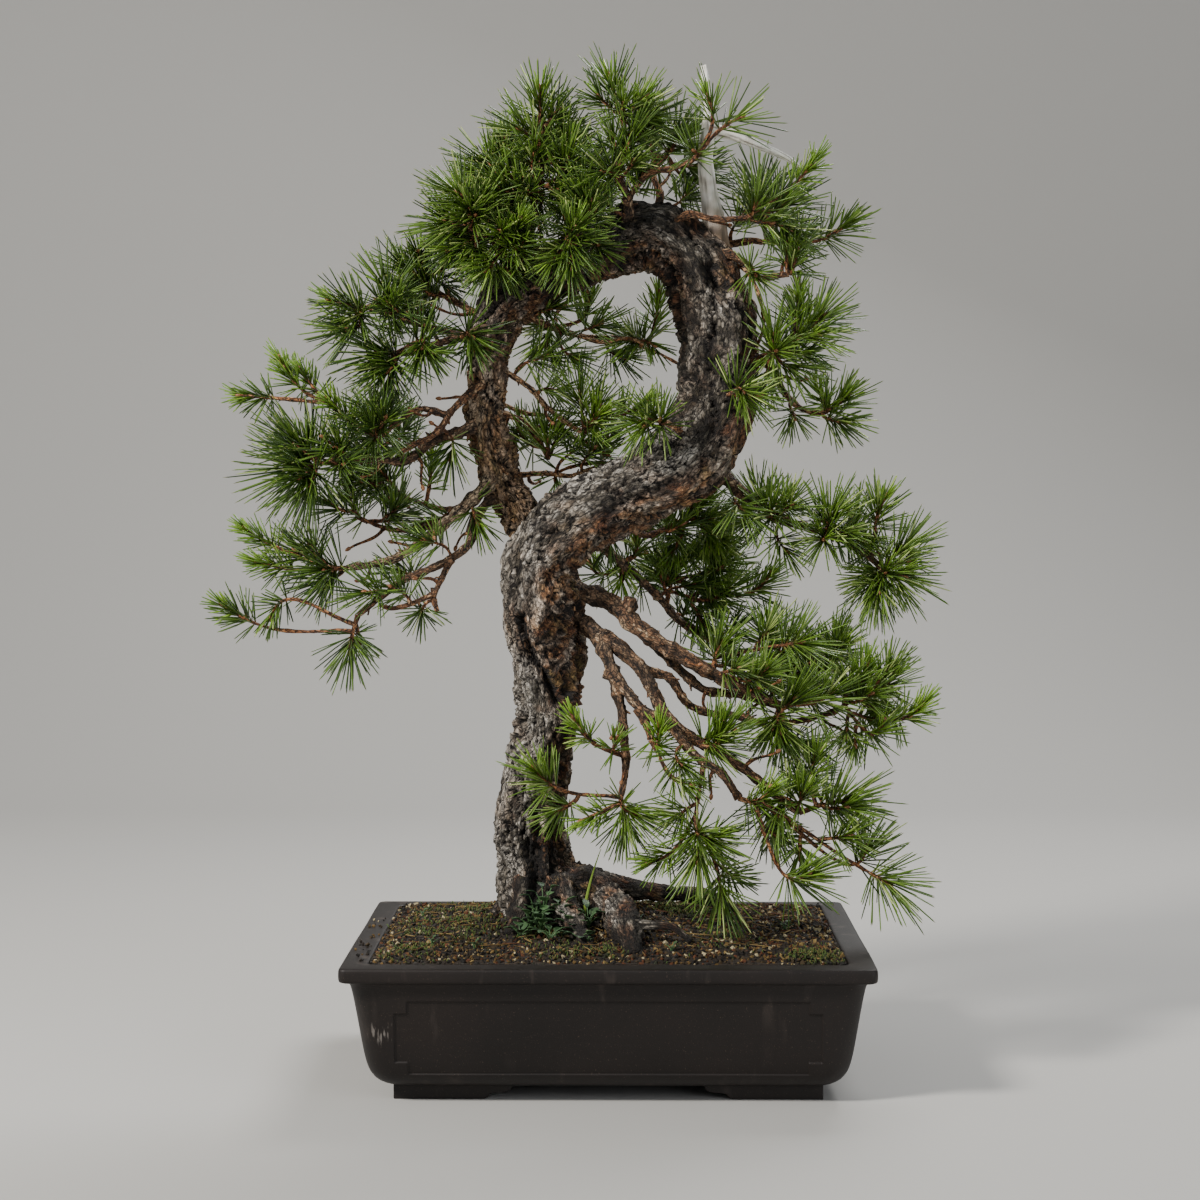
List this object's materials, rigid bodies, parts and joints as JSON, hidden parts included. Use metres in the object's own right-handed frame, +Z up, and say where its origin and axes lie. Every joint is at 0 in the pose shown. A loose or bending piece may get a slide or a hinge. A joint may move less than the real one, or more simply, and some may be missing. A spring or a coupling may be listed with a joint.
{
  "type": "pitch pine bonsai",
  "caption": "Pitch pine bonsai with a looped trunk, bleached deadwood and needle sprays, standing in a rectangular footed stoneware pot.",
  "frame": {"origin": "under the middle of the whole object's box, on the surface that the pot's feet stand on", "axes": "+Z up; the front, the side of the picture, faces -Y; the pot's long side runs along X"},
  "size_m": [0.733, 0.37, 1.0127],
  "materials": {
    "stoneware": "unglazed dark brown clay, satin",
    "screen": "woven plastic mesh",
    "soil": "granular mix of fired clay, pumice and bark",
    "bark": "flaking plated bark",
    "needles": "waxy green needles on scaly shoots",
    "leaf": "soft green leaf"
  },
  "bodies": {
    "root": {"pot": "stoneware", "drain_screen_left": "screen", "drain_screen_right": "screen", "soil": "soil", "tree": "bark", "weed_clover": "leaf", "weed_seedling": "leaf", "weed_grass": "leaf", "spray_crown_top": "needles", "spray_crown_peak_left": "needles", "spray_crown_left_back": "needles", "spray_crown_left_tip": "needles", "spray_crown_deep_left": "needles", "spray_crown_deep": "needles", "spray_crown_mid_high": "needles", "spray_crown_centre": "needles", "spray_crown_back": "needles", "spray_crown_star": "needles", "spray_crown_mid": "needles", "spray_shoulder_star": "needles", "spray_shoulder_tip": "needles", "spray_shoulder_low": "needles", "spray_right_mid": "needles", "spray_right_front": "needles", "spray_right_drop": "needles", "spray_right_low_star": "needles", "spray_right_low_mid": "needles", "spray_right_low_tip": "needles", "spray_inner_top": "needles", "spray_inner_hanging": "needles", "spray_inner_mid": "needles", "spray_inner_low": "needles", "spray_inner_deep": "needles", "spray_inner_front": "needles", "spray_left_high_tip": "needles", "spray_left_high_star": "needles", "spray_left_high_fork": "needles", "spray_left_high_back": "needles", "spray_left_mid_tip": "needles", "spray_left_mid_twig": "needles", "spray_left_mid_back": "needles", "spray_left_low_back": "needles", "spray_left_low_twig": "needles", "spray_left_low_star": "needles", "spray_left_low_drop": "needles", "spray_lower_high": "needles", "spray_lower_back_inner": "needles", "spray_lower_back_mid": "needles", "spray_lower_back_tip": "needles", "spray_lower_top_star": "needles", "spray_lower_top_tip": "needles", "spray_lower_back_end": "needles", "spray_lower_main_high": "needles", "spray_lower_main_tip": "needles", "spray_lower_front_tip": "needles", "spray_lower_front_loop": "needles", "spray_lower_stub_twig": "needles", "spray_lower_drop_tip": "needles", "spray_lower_drop_side": "needles"}
  },
  "joints": []
}
